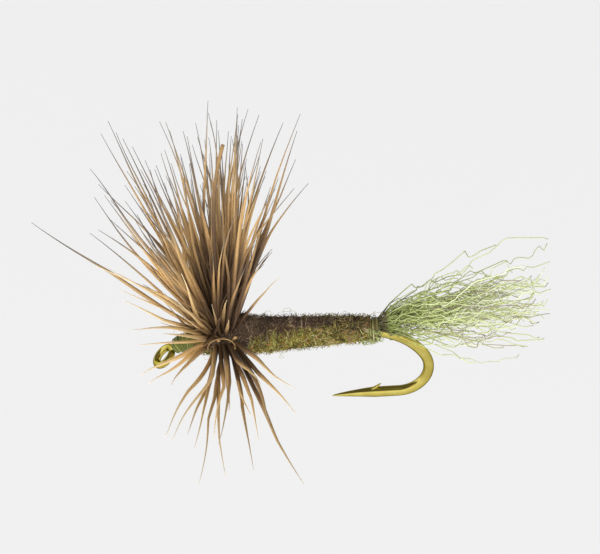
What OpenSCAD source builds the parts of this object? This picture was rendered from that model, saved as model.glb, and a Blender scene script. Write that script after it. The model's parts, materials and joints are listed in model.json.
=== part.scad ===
// Dry fly: a fine wire hook dressed with tying thread, an olive dubbed body, an upright
// fan of deer hair and a trailing shuck of crinkled yarn.
// Millimetres. The origin is the centre of the hook eye. +X runs back to the bend, +Z is
// up as the fly floats, and the middle plane of the hook is Y = 0. Left is the -Y side.

/* [Hook] */
// Diameter of the hook wire
wire_d = 0.43; // [0.36:0.01:0.52]
// Diameter of the wire where it is drawn down for the eye
eye_wire_d = 0.3; // [0.25:0.01:0.36]
// Clear hole of the eye
eye_bore_d = 0.6; // [0.5:0.01:0.72]
// Length of the straight wall inside the eye
eye_land = 0.16; // [0.12:0.01:0.2]
// How far the eye is turned down from the shank, in degrees
eye_angle = 40; // [34:1:46]
// Wire between the eye and the shank
neck_len = 0.7; // [0.66:0.01:0.84]
// Radius of the turn from the neck into the shank, at the middle of the wire
elbow_r = 0.5; // [0.47:0.01:0.6]
// Straight shank between the neck and the bend
shank_len = 7.29; // [6:0.01:8.8]
// Clear gap between the shank and the spear
hook_gap = 2.85; // [2.4:0.01:3.4]
// Radius of the lower, tighter arc of the bend, at the middle of the wire
heel_r = 1.27; // [1.05:0.01:1.5]
// Where the wide upper arc of the bend meets the lower one, in degrees above level
bend_split = 30; // [20:1:40]
// Straight wire between the bend and the taper of the point
spear_len = 0.95; // [0.8:0.01:1.14]
// Length of the tapered point
point_len = 1.75; // [1.4:0.01:2.1]
// How much thinner the wire is forged at each bend, from the shank outwards
wire_step = 0.012; // [0.008:0.001:0.015]
// Blunt end of the point
tip_d = 0.03; // [0.02:0.01:0.05]
// Length of the barb, from its root to its tip
barb_len = 0.42; // [0.35:0.01:0.5]
// Height of the barb's tip above the wire
barb_rise = 0.2; // [0.15:0.01:0.25]
// Thickness of the barb from side to side
barb_t = 0.14; // [0.1:0.01:0.2]

/* [Thread] */
// Diameter of one turn of tying thread
thread_d = 0.08; // [0.06:0.01:0.1]
// Thickness of the thread base wound on the shank
base_t = 0.035; // [0.02:0.005:0.05]
// Length of the wound head on the shank, behind the neck
head_len = 0.42; // [0.35:0.01:0.5]
// Thickness of the wound head over the wire
head_t = 0.16; // [0.13:0.01:0.2]
// Number of turns in the whip finish
whip_turns = 3; // [2:1:4]
// Length of the thread dam that props the wing up
dam_len = 0.18; // [0.15:0.01:0.22]
// Thickness of the dam over the thread base, at the wing
dam_t = 0.2; // [0.16:0.01:0.24]
// Number of turns that bind the wing
wing_turns = 3; // [2:1:4]
// Number of turns that bind the shuck
shuck_turns = 5; // [4:1:6]
// Diameter of the larger bead of head cement
bead_d = 0.32; // [0.26:0.01:0.38]

/* [Body] */
// Length of the dubbing between the head and the wing
front_len = 0.6; // [0.5:0.01:0.72]
// Thickness of that dubbing at the head
front_t1 = 0.15; // [0.12:0.01:0.18]
// Thickness of that dubbing at the wing
front_t2 = 0.33; // [0.26:0.01:0.38]
// Length of the thorax behind the wing
thorax_len = 1.1; // [0.9:0.01:1.3]
// Least thickness of the thorax where the wing leans over it
thorax_t = 0.04; // [0.03:0.005:0.05]
// Diameter of the body at its thickest, where the thorax meets the abdomen
body_d1 = 1.5; // [1.3:0.01:1.8]
// Thickness of the dubbing over the bound yarn, at the shuck
body_end_t = 0.06; // [0.04:0.01:0.1]
// How far the middle of the dubbed body lies above the shank
body_rise = 0.14; // [0.1:0.01:0.17]

/* [Wing] */
// Length of a full wing hair from the line that it bends at
hair_len = 10; // [8:0.1:12]
// Diameter of a wing hair at its foot
hair_root_d = 0.11; // [0.08:0.01:0.12]
// Diameter of a wing hair at its tip
hair_tip_d = 0.03; // [0.02:0.01:0.05]
// Room along the shank for the feet of the hair
root_len = 0.74; // [0.66:0.01:0.88]
// Thickness of the bound hair over the thread base
butt_t = 0.17; // [0.14:0.01:0.2]
// Length of the bound butts behind the wing
butt_len = 1.3; // [1.1:0.01:1.5]
// Free bend between the bound hair and the stiff part of each hair
flex_len = 0.4; // [0.38:0.01:0.48]
// Angle between neighbouring hairs, around the shank, in degrees
hair_step = 12; // [11:0.5:12.5]

/* [Shuck] */
// Length of the free yarn behind the body
shuck_len = 6.7; // [5.5:0.1:8]
// Diameter of a strand of yarn at its foot
strand_root_d = 0.09; // [0.07:0.01:0.1]
// Diameter of a strand of yarn at its end
strand_tip_d = 0.05; // [0.03:0.01:0.06]
// Distance between neighbouring strands at the foot
strand_pitch = 0.12; // [0.11:0.005:0.14]
// Angle from one side of the shuck to the other, in degrees
shuck_spread = 30; // [24:1:36]
// How far the shuck points up, in degrees
shuck_lift = 6; // [4:1:9]
// How far the tie-in of the shuck runs on past the start of the bend
shuck_over = 0.63; // [0.5:0.01:0.72]
// Free bend between the tie-in of the shuck and its strands
shuck_flex = 0.3; // [0.26:0.01:0.4]
// Thickness of the bound yarn on top of the shank
pad_t = 0.26; // [0.2:0.01:0.32]

/* [Fit] */
// Gap between pieces that lie on each other
seat_gap = 0.01; // [0.005:0.001:0.015]

/* [Hidden] */
$fn = 48;
// Each length of wire, and of the wound head, runs on this far into the thicker one next to it
lap = 0.03;

// The straight wall of the eye cuts a little into the round wire of the ring
ring_r = eye_bore_d / 2 + sqrt(pow(eye_wire_d, 2) - pow(eye_land, 2)) / 2;
neck_reach = ring_r + neck_len;
shank_x = neck_reach * cos(eye_angle);
shank_z = neck_reach * sin(eye_angle);
elbow_cut = elbow_r * tan(eye_angle / 2);
neck_end = neck_reach - elbow_cut;
shank_start = shank_x + elbow_cut;

// The bend: a wide arc off the shank, then the tighter heel, then the straight spear
bend_x = shank_x + shank_len;
wire_drop = hook_gap + wire_d;
crown_r = (wire_drop - heel_r * (1 + sin(bend_split))) / (1 - sin(bend_split));
heel_x = bend_x + (crown_r - heel_r) * cos(bend_split);
spear_z = shank_z - wire_drop;
heel_z = spear_z + heel_r;
point_x = heel_x - spear_len;
elbow_d = wire_d - wire_step;
neck_d = wire_d - 2 * wire_step;
crown_d = wire_d - wire_step;
heel_d = wire_d - 2 * wire_step;
spear_d = wire_d - 3 * wire_step;
point_d = wire_d - 4 * wire_step;

// Stations along the neck: the whip finish lies between the ring and the wound head
whip_pitch = thread_d * 0.7;
whip_foot = ring_r + eye_wire_d / 2 + seat_gap;
head_foot = whip_foot + thread_d + (whip_turns - 1) * whip_pitch + seat_gap;

// Stations along the shank, from the eye to the bend
front_x = shank_x + head_len;
dam_x = front_x + front_len;
root_x = dam_x + dam_len;
wrap_x = root_x + root_len;
thorax_x = wrap_x + wing_turns * thread_d;
abdomen_x = thorax_x + thorax_len;
shuck_x = bend_x + shuck_over;
tail_x = shuck_x - shuck_turns * thread_d;
abdomen_len = tail_x - abdomen_x;
wing_x = root_x + root_len / 2;

// Radii of what is wound on the shank. The bound yarn also takes in the wire as it starts
// to curve down.
base_r = wire_d / 2 + base_t;
head_r = wire_d / 2 + head_t;
butt_r = base_r + butt_t;
butt_end_r = base_r + butt_t / 3;
wrap_r = butt_r + thread_d;
dam_r = base_r + dam_t;
wire_sag = crown_r - sqrt(pow(crown_r, 2) - pow(shuck_over, 2));
pad_r = base_r + (pad_t + wire_sag) / 2;
pad_rise = (pad_t - wire_sag) / 2;
thorax_r = butt_r + body_rise + thorax_t;
body_r = body_d1 / 2;
body_end_r = pad_r + abs(body_rise - pad_rise) + body_end_t;

pad_x = thorax_x + butt_len + seat_gap;

// The shuck leaves the tie-in on top of the wire, which is already curving down there
hinge_x = shuck_x + seat_gap;
strand_floor = shank_z + wire_d / 2 + strand_root_d / 2 + 2 * seat_gap;
strand_rows = 4;
strand_columns = 4;

// The wing is five locks, from the left side over the top to the right side
hair_columns = 3;
lock_step = hair_step * hair_columns;
hair_tilts = [-42, -24, -7, 10];

// A round rod along the shank
module rod(x, length, r1, r2, rise = 0)
    translate([x, 0, shank_z + rise])
        rotate([0, 90, 0])
            cylinder(h = length, r1 = r1, r2 = r2);

// Part of a ring in the plane Y = 0, from one angle to another above the +X direction
module arc(x, z, radius, from, to, d)
    translate([x, 0, z])
        rotate([90, 0, 0])
            rotate([0, 0, from])
                rotate_extrude(angle = to - from)
                    translate([radius, 0])
                        circle(d = d);

// The angle that the lap takes up on an arc
function lap_angle(radius) = lap / radius * 180 / PI;

// Puts its children at the eye, with +Z along the neck, up to the shank
module on_neck()
    rotate([0, 90 - eye_angle, 0])
        children();

module eye_ring()
    on_neck()
        rotate([0, 90, 0])
            difference() {
                rotate_extrude()
                    translate([ring_r, 0])
                        circle(d = eye_wire_d);
                cylinder(h = 2 * eye_wire_d, d = eye_bore_d, center = true);
            }

// The wire from the ring to the elbow, thin at the ring
module neck_wire(grow = 0)
    on_neck()
        translate([0, 0, ring_r])
            cylinder(h = neck_end - ring_r + lap, d1 = eye_wire_d * 0.86 + 2 * grow,
                d2 = neck_d + 2 * grow);

// The turn from the neck into the shank
module elbow(d)
    arc(shank_start, shank_z - elbow_r, elbow_r, 90 - lap_angle(elbow_r), 90 + eye_angle, d);

// The wide upper arc of the bend
module crown(grow = 0)
    arc(bend_x, shank_z - crown_r, crown_r, bend_split, 90 + lap_angle(crown_r),
        crown_d + 2 * grow);

// The tight lower arc of the bend
module heel()
    arc(heel_x, heel_z, heel_r, -90, bend_split + lap_angle(heel_r), heel_d);

// The straight wire under the shank, and the point that is ground on it
module spear() {
    translate([point_x, 0, spear_z])
        rotate([0, 90, 0])
            cylinder(h = spear_len + lap, d = spear_d);
    translate([point_x - point_len, 0, spear_z])
        rotate([0, 90, 0])
            cylinder(h = point_len + lap, d1 = tip_d, d2 = point_d);
}

module barb() {
    root_z = wire_d / 4;
    tip_z = wire_d / 2 + barb_rise;
    translate([point_x - barb_len / 2, barb_t / 2, spear_z])
        rotate([90, 0, 0])
            linear_extrude(barb_t)
                polygon([
                    [0, root_z],
                    [barb_len * 0.9, tip_z - 0.03],
                    [barb_len, tip_z],
                    [barb_len * 0.55, root_z]
                ]);
}

module hook() color("#b79f55") {
    eye_ring();
    neck_wire();
    elbow(elbow_d);
    rod(shank_start, bend_x - shank_start, wire_d / 2, wire_d / 2);
    crown();
    heel();
    spear();
    barb();
}

module thread_base() color("#6f6b3a")
    difference() {
        rod(front_x, bend_x - front_x, base_r, base_r);
        rod(front_x - 1, bend_x - front_x + 2, wire_d / 2 + seat_gap, wire_d / 2 + seat_gap);
    }

// Turns of thread that lie side by side along the shank
module turns(x, count, inner_r, rise = 0)
    translate([x, 0, shank_z + rise])
        rotate([0, 90, 0])
            rotate_extrude() {
                translate([inner_r, 0])
                    square([thread_d / 2, count * thread_d]);
                for (i = [0 : count - 1])
                    translate([inner_r + thread_d / 2, (i + 0.5) * thread_d])
                        circle(d = thread_d);
            }

module butts_shape(grow = 0) {
    rod(root_x - grow, thorax_x - root_x + grow, butt_r + grow, butt_r + grow);
    rod(thorax_x, butt_len + grow, butt_r + grow, butt_end_r + grow);
}

module wing_butts() color("#6b5238")
    difference() {
        butts_shape();
        rod(root_x - 1, thorax_x + butt_len - root_x + 2, base_r + seat_gap, base_r + seat_gap);
    }

module wing_wraps() color("#7a7440")
    turns(wrap_x, wing_turns, butt_r + seat_gap);

module pad_shape(grow = 0)
    rod(pad_x - grow, shuck_x - pad_x + 2 * grow, pad_r + grow, pad_r + grow, pad_rise);

// The shank with its thread base, grown by the seat gap
module based_shank()
    rod(front_x, bend_x - front_x + seat_gap, base_r + seat_gap, base_r + seat_gap);

module shuck_butts() color("#93a35a")
    difference() {
        pad_shape();
        based_shank();
        crown(seat_gap);
    }

// What is bound to the shank under the dubbing, grown by the seat gap
module bound_core() {
    butts_shape(seat_gap);
    pad_shape(seat_gap);
    based_shank();
    crown(seat_gap);
}

module thorax_dubbing() color("#4a3d2c")
    difference() {
        union() {
            rod(thorax_x + seat_gap, thorax_len / 2, thorax_r, body_r, body_rise);
            rod(thorax_x + seat_gap + thorax_len / 2, thorax_len / 2 - seat_gap,
                body_r, body_r, body_rise);
        }
        bound_core();
    }

module abdomen_dubbing() color("#6d6a2e")
    difference() {
        rod(abdomen_x + seat_gap, abdomen_len - 2 * seat_gap, body_r, body_end_r, body_rise);
        bound_core();
    }

module shuck_wraps() color("#7d7a45")
    turns(tail_x, shuck_turns, pad_r + seat_gap, pad_rise);

// One strand of the shuck: a row and a column, counted from the lower left
module strand(row, column) {
    side = column - (strand_columns - 1) / 2;
    up = row - (strand_rows - 1) / 2;
    share = shuck_spread / (strand_columns - 1);
    reach = shuck_len * (1 - 0.06 * ((row * 3 + column * 2) % 4));
    translate([hinge_x, 0, strand_floor + row * strand_pitch])
        rotate([0, 0, -side * share])
            translate([shuck_flex, -side * strand_pitch / 2, 0])
                rotate([0, 90 - shuck_lift - up * share * 0.8, 0])
                    cylinder(h = reach - shuck_flex, d1 = strand_root_d, d2 = strand_tip_d);
}

module trailing_shuck() color("#a9b56f")
    for (row = [0 : strand_rows - 1], column = [0 : strand_columns - 1])
        strand(row, column);

// One wing hair: its angle around the shank, its lean along the shank and its length
module hair(around, lean, reach)
    translate([wing_x, 0, shank_z])
        rotate([around, 0, 0])
            translate([0, 0, butt_r])
                rotate([0, lean, 0])
                    translate([0, 0, flex_len])
                        cylinder(h = reach - flex_len, d1 = hair_root_d, d2 = hair_tip_d);

// A lock of wing hair. Every second row is set over by half a step, so the feet nest.
module wing_lock(place) color("#a67c45")
    for (row = [0 : len(hair_tilts) - 1], column = [0 : hair_columns - 1]) {
        stagger = (row % 2 - 0.5) / 2;
        around = place * lock_step + (column - 1 + stagger) * hair_step;
        reach = hair_len * (1 - 0.05 * ((row * 2 + column * 3 + place + 4) % 4));
        hair(around, hair_tilts[row], reach);
    }

module wing_lock_left() wing_lock(2);
module wing_lock_upper_left() wing_lock(1);
module wing_lock_top() wing_lock(0);
module wing_lock_upper_right() wing_lock(-1);
module wing_lock_right() wing_lock(-2);

module thread_dam() color("#7a7440")
    difference() {
        rod(dam_x, dam_len - seat_gap, base_r + dam_t / 2, dam_r);
        rod(dam_x - 1, dam_len + 2, base_r + seat_gap, base_r + seat_gap);
    }

module front_dubbing() color("#7b7a33")
    difference() {
        rod(front_x + seat_gap, front_len - 2 * seat_gap, base_r + front_t1,
            base_r + front_t2);
        rod(front_x - 1, front_len + 2, base_r + seat_gap, base_r + seat_gap);
    }

// The wound head covers the upper part of the neck and the start of the shank
module head_shape(grow = 0) {
    on_neck()
        translate([0, 0, head_foot])
            cylinder(h = neck_end - head_foot + lap, r1 = head_r * 0.8 + grow,
                r2 = head_r - wire_step + grow);
    elbow(2 * head_r - wire_step + 2 * grow);
    rod(shank_start, front_x - shank_start, head_r + grow, head_r + grow);
}

module thread_head() color("#5f6b35")
    difference() {
        head_shape();
        neck_wire(seat_gap);
        elbow(elbow_d + 2 * seat_gap);
        rod(shank_start, front_x, wire_d / 2 + seat_gap, wire_d / 2 + seat_gap);
    }

// The last turns, drawn tight around the neck against the head
module whip_finish() color("#667238")
    difference() {
        on_neck()
            rotate_extrude()
                for (i = [0 : whip_turns - 1])
                    translate([wire_d / 2, whip_foot + thread_d / 2 + i * whip_pitch])
                        circle(d = thread_d);
        neck_wire(seat_gap);
    }

// Drops of clear cement on top of the wound head
module head_cement() color("#d8d2a8")
    difference() {
        union() {
            translate([shank_start, 0, shank_z + head_r])
                sphere(d = bead_d);
            on_neck()
                translate([-head_r * 0.94, 0, (head_foot + neck_end) / 2])
                    sphere(d = bead_d * 0.6);
        }
        head_shape(seat_gap);
    }

hook();
thread_base();
shuck_butts();
shuck_wraps();
trailing_shuck();
abdomen_dubbing();
thorax_dubbing();
wing_butts();
wing_wraps();
wing_lock_left();
wing_lock_upper_left();
wing_lock_top();
wing_lock_upper_right();
wing_lock_right();
thread_dam();
front_dubbing();
thread_head();
whip_finish();
head_cement();
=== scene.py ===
"""The looks of a deer hair dry fly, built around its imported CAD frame.

Lengths in this script are millimetres in the row's frame, and become metres when a mesh
is made. The origin is the centre of the hook eye, +X runs back to the bend and +Z is up.
"""
import json
import math

import bmesh
import bpy
import numpy as np
from mathutils import Matrix, Vector, noise


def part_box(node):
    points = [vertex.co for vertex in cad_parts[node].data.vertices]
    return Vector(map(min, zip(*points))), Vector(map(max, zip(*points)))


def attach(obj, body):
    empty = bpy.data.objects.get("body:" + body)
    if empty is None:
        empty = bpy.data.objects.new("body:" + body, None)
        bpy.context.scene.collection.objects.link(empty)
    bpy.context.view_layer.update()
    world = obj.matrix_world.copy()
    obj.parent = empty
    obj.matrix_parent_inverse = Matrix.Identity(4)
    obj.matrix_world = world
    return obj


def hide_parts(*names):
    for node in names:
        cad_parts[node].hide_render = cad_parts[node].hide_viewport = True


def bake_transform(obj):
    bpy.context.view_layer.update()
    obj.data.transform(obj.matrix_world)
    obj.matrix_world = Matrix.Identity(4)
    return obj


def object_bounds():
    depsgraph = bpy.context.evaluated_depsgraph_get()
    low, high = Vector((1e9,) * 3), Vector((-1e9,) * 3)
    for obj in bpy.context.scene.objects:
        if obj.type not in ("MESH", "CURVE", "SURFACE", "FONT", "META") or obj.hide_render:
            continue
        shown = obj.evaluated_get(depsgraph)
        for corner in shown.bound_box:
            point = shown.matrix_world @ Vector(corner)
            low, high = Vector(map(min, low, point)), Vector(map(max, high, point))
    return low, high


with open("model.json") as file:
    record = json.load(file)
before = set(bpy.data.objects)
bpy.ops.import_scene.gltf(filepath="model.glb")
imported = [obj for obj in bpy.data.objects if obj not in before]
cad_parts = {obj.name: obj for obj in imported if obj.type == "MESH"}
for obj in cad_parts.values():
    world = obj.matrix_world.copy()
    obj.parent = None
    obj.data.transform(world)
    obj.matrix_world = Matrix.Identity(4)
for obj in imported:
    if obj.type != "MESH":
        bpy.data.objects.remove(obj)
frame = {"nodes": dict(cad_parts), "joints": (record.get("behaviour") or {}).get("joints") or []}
cad_low, cad_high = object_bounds()

MM = 0.001
TAU = 2 * math.pi


def box_mm(node_name):
    """Lowest and highest corners of a CAD node."""
    low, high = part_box(node_name)
    return low / MM, high / MM


def joint_mm(joint_name):
    """Where a joint is, and its axis."""
    for joint in frame["joints"]:
        if joint["name"] == joint_name:
            return Vector(joint["pos_m"]) / MM, Vector(joint["axis"])


# ---------------------------------------------------------------- places from the frame

WIRE_D = 0.43
EYE_WIRE_D = 0.30
THREAD_D = 0.08

base_low, base_high = box_mm("thread_base")
SHANK_Z = (base_low.z + base_high.z) / 2
BASE_R = (base_high.z - base_low.z) / 2
FRONT_X = base_low.x
BEND_X = base_high.x
HOOK_LOW = box_mm("hook")[0]
WRAPS_LOW, WRAPS_HIGH = box_mm("wing_wraps")
THORAX_LOW, THORAX_HIGH = box_mm("thorax_dubbing")
ABDOMEN_LOW, ABDOMEN_HIGH = box_mm("abdomen_dubbing")
TIE_LOW, TIE_HIGH = box_mm("shuck_wraps")
DAM_LOW, DAM_HIGH = box_mm("thread_dam")
SHUCK_HINGE = joint_mm("shuck_flex")[0]
WING_X = joint_mm("wing_top_flex")[0].x
BUTT_R = box_mm("wing_butts")[1].z - SHANK_Z
TIE_MIDDLE_Z = (TIE_HIGH.z + TIE_LOW.z) / 2
TIE_R = (TIE_HIGH.z - TIE_LOW.z) / 2

# ---------------------------------------------------------------- materials


def rgb(red, green, blue):
    """A colour given on the 0 to 255 display scale, as scene-linear values."""
    values = [channel / 255 for channel in (red, green, blue)]
    return tuple(
        v / 12.92 if v <= 0.04045 else ((v + 0.055) / 1.055) ** 2.4 for v in values
    )


class Recipe:
    """A node material under construction."""

    def __init__(self, name, roughness, **sockets):
        self.material = bpy.data.materials.new(name)
        self.material.use_nodes = True
        self.tree = self.material.node_tree
        self.shader = self.tree.nodes["Principled BSDF"]
        self.shader.inputs["Roughness"].default_value = roughness
        for socket, value in sockets.items():
            self.shader.inputs[socket.replace("_", " ")].default_value = value
        self.place = self.in_millimetres()

    def add(self, kind, **settings):
        made = self.tree.nodes.new(kind)
        for key, value in settings.items():
            setattr(made, key, value)
        return made

    def link(self, output, node, socket):
        self.tree.links.new(output, node.inputs[socket])

    def in_millimetres(self):
        coordinates = self.add("ShaderNodeTexCoord")
        scaled = self.add("ShaderNodeVectorMath", operation="SCALE")
        scaled.inputs["Scale"].default_value = 1 / MM
        self.link(coordinates.outputs["Object"], scaled, 0)
        return scaled.outputs["Vector"]

    def attribute(self, name):
        return self.add("ShaderNodeAttribute", attribute_name=name).outputs["Fac"]

    def noise(self, per_mm, detail=3.0, stretch=(1, 1, 1)):
        mapping = self.add("ShaderNodeMapping")
        mapping.inputs["Scale"].default_value = stretch
        self.link(self.place, mapping, "Vector")
        texture = self.add("ShaderNodeTexNoise")
        texture.inputs["Scale"].default_value = per_mm
        texture.inputs["Detail"].default_value = detail
        self.link(mapping.outputs["Vector"], texture, "Vector")
        return texture.outputs["Fac"]

    def math(self, operation, first, second, clamp=False):
        made = self.add("ShaderNodeMath", operation=operation, use_clamp=clamp)
        for index, value in enumerate((first, second)):
            if isinstance(value, (int, float)):
                made.inputs[index].default_value = value
            else:
                self.link(value, made, index)
        return made.outputs["Value"]

    def ramp(self, factor, stops):
        made = self.add("ShaderNodeValToRGB")
        elements = made.color_ramp.elements
        while len(elements) > 1:
            elements.remove(elements[-1])
        elements[0].position, elements[0].color = stops[0][0], (*stops[0][1], 1)
        for position, colour in stops[1:]:
            elements.new(position).color = (*colour, 1)
        self.link(factor, made, "Fac")
        return made.outputs["Color"]

    def mix(self, factor, first, second, blend_type="MIX"):
        made = self.add("ShaderNodeMix", data_type="RGBA", blend_type=blend_type)
        sockets = {s.identifier: s for s in made.inputs}
        for key, value in (
            ("Factor_Float", factor),
            ("A_Color", first),
            ("B_Color", second),
        ):
            if isinstance(value, (int, float)):
                sockets[key].default_value = value
            elif isinstance(value, tuple):
                sockets[key].default_value = (*value, 1)
            else:
                self.tree.links.new(value, sockets[key])
        return [s for s in made.outputs if s.identifier == "Result_Color"][0]

    def colour(self, output):
        self.link(output, self.shader, "Base Color")

    def bump(self, height, depth_mm, strength=1.0):
        made = self.add("ShaderNodeBump")
        made.inputs["Distance"].default_value = depth_mm * MM
        made.inputs["Strength"].default_value = strength
        self.link(height, made, "Height")
        self.link(made.outputs["Normal"], self.shader, "Normal")


def bronze_material():
    """Bronzed wire, a little lighter and darker in patches, with a fine grain."""
    recipe = Recipe("bronze_wire", 0.2, Metallic=1.0, Specular_Tint=(0, 0, 0, 1))
    patches = recipe.noise(2.2, 4.0)
    recipe.colour(
        recipe.ramp(
            patches,
            [(0.3, rgb(186, 168, 84)), (0.55, rgb(198, 182, 94)), (0.8, rgb(206, 192, 112))],
        )
    )
    grain = recipe.noise(30.0, 3.0)
    recipe.bump(grain, 0.0015, 0.4)
    return recipe.material


def thread_material(name, shades, roughness, coat):
    """Wound thread: its shade runs from turn to turn, with a fine twist in its surface."""
    recipe = Recipe(name, roughness, Coat_Weight=coat, Coat_Roughness=0.12)
    recipe.shader.inputs["Sheen Weight"].default_value = 0.05
    streaks = recipe.noise(26.0)
    shade = recipe.math("ADD", recipe.attribute("tone"), recipe.math("MULTIPLY", streaks, 0.3))
    steps = [0.2 + 0.9 * i / (len(shades) - 1) for i in range(len(shades))]
    recipe.colour(recipe.ramp(shade, [(min(p, 1.0), c) for p, c in zip(steps, shades)]))
    recipe.bump(recipe.noise(60.0, 2.0), 0.006, 0.6)
    return recipe.material


BROWN_SHADES = [
    (0.0, rgb(60, 47, 35)),
    (0.35, rgb(82, 65, 50)),
    (0.7, rgb(106, 86, 66)),
    (0.93, rgb(136, 112, 88)),
    (1.0, rgb(176, 150, 124)),
]
OLIVE_SHADES = [
    (0.0, rgb(62, 55, 20)),
    (0.25, rgb(106, 96, 36)),
    (0.55, rgb(152, 138, 62)),
    (0.84, rgb(196, 182, 102)),
    (0.88, rgb(124, 164, 72)),
    (0.92, rgb(196, 98, 58)),
    (0.95, rgb(146, 112, 108)),
    (1.0, rgb(214, 200, 150)),
]


def dubbing_material(name, fibre):
    """Spun fur. The attribute back goes from the olive belly, 0, to the brown back, 1. On the
    abdomen that brown top is partly the fur's own colour and partly painted shade.
    """
    recipe = Recipe(name, 0.85)
    recipe.shader.inputs["Sheen Weight"].default_value = 0.08
    recipe.shader.inputs["Specular IOR Level"].default_value = 0.15
    if fibre:
        shade = recipe.attribute("tone")
    else:
        # The core takes only the darker half of the shades: painted shade in the gaps between the
        # fibres.
        shade = recipe.math("MULTIPLY", recipe.noise(9.0, 6.0, (0.6, 1, 1)), 0.45)
    brown = recipe.ramp(shade, BROWN_SHADES)
    olive = recipe.ramp(shade, OLIVE_SHADES)
    recipe.colour(recipe.mix(recipe.attribute("back"), olive, brown))
    if not fibre:
        recipe.bump(recipe.noise(24.0, 5.0, (0.5, 1, 1)), 0.05)
    return recipe.material


def hair_material(name, stops):
    """Deer hair: bands of colour along its length, shifted from hair to hair. The shift
    fades towards the tip, and tone makes a whole hair darker or lighter."""
    recipe = Recipe(name, 0.42)
    recipe.shader.inputs["Specular IOR Level"].default_value = 0.35
    streaks = recipe.noise(7.0, 3.0)
    shift = recipe.math("MULTIPLY", recipe.math("SUBTRACT", recipe.attribute("shift"), 0.5), 0.5)
    rest = recipe.math("SUBTRACT", 1.15, recipe.attribute("along"))
    place = recipe.math("ADD", recipe.attribute("along"), recipe.math("MULTIPLY", shift, rest))
    wander = recipe.math("MULTIPLY", recipe.math("SUBTRACT", streaks, 0.5), 0.16)
    bands = recipe.ramp(recipe.math("ADD", place, wander, clamp=True), stops)
    light = recipe.ramp(
        recipe.attribute("tone"),
        [(0.0, (0.6, 0.58, 0.56)), (0.35, (0.9, 0.9, 0.89)), (1.0, (1.22, 1.2, 1.13))],
    )
    recipe.colour(recipe.mix(1.0, bands, light, "MULTIPLY"))
    recipe.bump(recipe.noise(40.0, 2.0), 0.004, 0.5)
    return recipe.material


def yarn_material(name):
    """Pale green yarn, darker and greener where it is tied in. A few fibres are drab and greyish:
    painted shade.
    """
    recipe = Recipe(name, 0.45)
    recipe.shader.inputs["Sheen Weight"].default_value = 0.3
    recipe.shader.inputs["Specular IOR Level"].default_value = 0.45
    # Tones below 0.15 give the drab greyish fibres: painted shade.
    bright = recipe.ramp(
        recipe.attribute("tone"),
        [
            (0.0, rgb(138, 120, 120)),
            (0.1, rgb(164, 160, 118)),
            (0.15, rgb(158, 166, 96)),
            (0.45, rgb(192, 200, 134)),
            (0.8, rgb(214, 220, 170)),
            (1.0, rgb(226, 230, 198)),
        ],
    )
    root = recipe.ramp(
        recipe.attribute("along"),
        [
            (0.0, (0.12, 0.09, 0.06)),
            (0.045, (0.16, 0.13, 0.07)),
            (0.075, (0.42, 0.47, 0.22)),
            (0.3, (0.84, 0.88, 0.66)),
            (0.6, (1, 1, 1)),
        ],
    )
    recipe.colour(recipe.mix(1.0, bright, root, "MULTIPLY"))
    return recipe.material


def cement_material():
    """Clear cement with a faint yellow cast."""
    recipe = Recipe("head_cement", 0.03, Transmission_Weight=1.0)
    recipe.shader.inputs["IOR"].default_value = 1.5
    tints = [(0.2, rgb(238, 234, 214)), (0.9, rgb(252, 250, 240))]
    recipe.colour(recipe.ramp(recipe.noise(5.0), tints))
    return recipe.material


def plain_fibre_material(name, dark, light):
    """The pieces under the dressing: a streaky dark surface."""
    recipe = Recipe(name, 0.8)
    recipe.colour(recipe.ramp(recipe.noise(12.0, 4.0, (0.2, 1, 1)), [(0.25, dark), (0.8, light)]))
    recipe.bump(recipe.noise(25.0, 3.0, (0.2, 1, 1)), 0.02)
    return recipe.material


# ---------------------------------------------------------------- meshes


def make_object(name, vertices, faces, material, smooth=True, floats=None, uv=None):
    """A mesh object from points in millimetres, with float attributes for its points."""
    mesh = bpy.data.meshes.new(name)
    mesh.from_pydata((np.asarray(vertices, float) * MM).tolist(), [], faces)
    mesh.materials.append(material)
    for key, values in (floats or {}).items():
        layer = mesh.attributes.new(key, "FLOAT", "POINT")
        layer.data.foreach_set("value", np.asarray(values, np.float32))
    if uv is not None:
        layer = mesh.uv_layers.new(name="OFBake")
        corners = np.empty(len(mesh.loops), np.int32)
        mesh.loops.foreach_get("vertex_index", corners)
        layer.data.foreach_set("uv", np.asarray(uv, np.float32)[corners].ravel())
    if smooth:
        mesh.polygons.foreach_set("use_smooth", np.ones(len(mesh.polygons), bool))
    mesh.validate()
    made = bpy.data.objects.new(name, mesh)
    bpy.context.scene.collection.objects.link(made)
    return made


def unit(vectors):
    return vectors / np.maximum(np.linalg.norm(vectors, axis=-1, keepdims=True), 1e-9)


def tube_rings(paths, radii, sides):
    """Rings of points around each path. The rings don't twist from one to the next."""
    tangents = unit(np.gradient(paths, axis=1))
    steep = np.abs(tangents[:, 0, 2:3]) < 0.9
    hint = np.where(steep, np.array([[0.0, 0, 1]]), np.array([[1.0, 0, 0]]))
    normal = unit(np.cross(tangents[:, 0], hint))
    angles = np.arange(sides) * TAU / sides
    rings = np.empty((*paths.shape[:2], sides, 3))
    for j in range(paths.shape[1]):
        tangent = tangents[:, j]
        normal = unit(normal - tangent * np.sum(normal * tangent, axis=1, keepdims=True))
        binormal = np.cross(tangent, normal)
        spokes = (
            np.cos(angles)[None, :, None] * normal[:, None]
            + np.sin(angles)[None, :, None] * binormal[:, None]
        )
        rings[:, j] = paths[:, j][:, None] + spokes * radii[:, j][:, None, None]
    return rings


def tube_faces(first, length, sides):
    """Faces of a closed tube whose points start at the index first: its caps and its wall."""
    last = first + (length - 1) * sides
    faces = [
        tuple(first + s for s in range(sides - 1, -1, -1)),
        tuple(last + s for s in range(sides)),
    ]
    for low in range(first, last, sides):
        for s in range(sides):
            after = (s + 1) % sides
            faces.append((low + s, low + after, low + sides + after, low + sides + s))
    return faces


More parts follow.
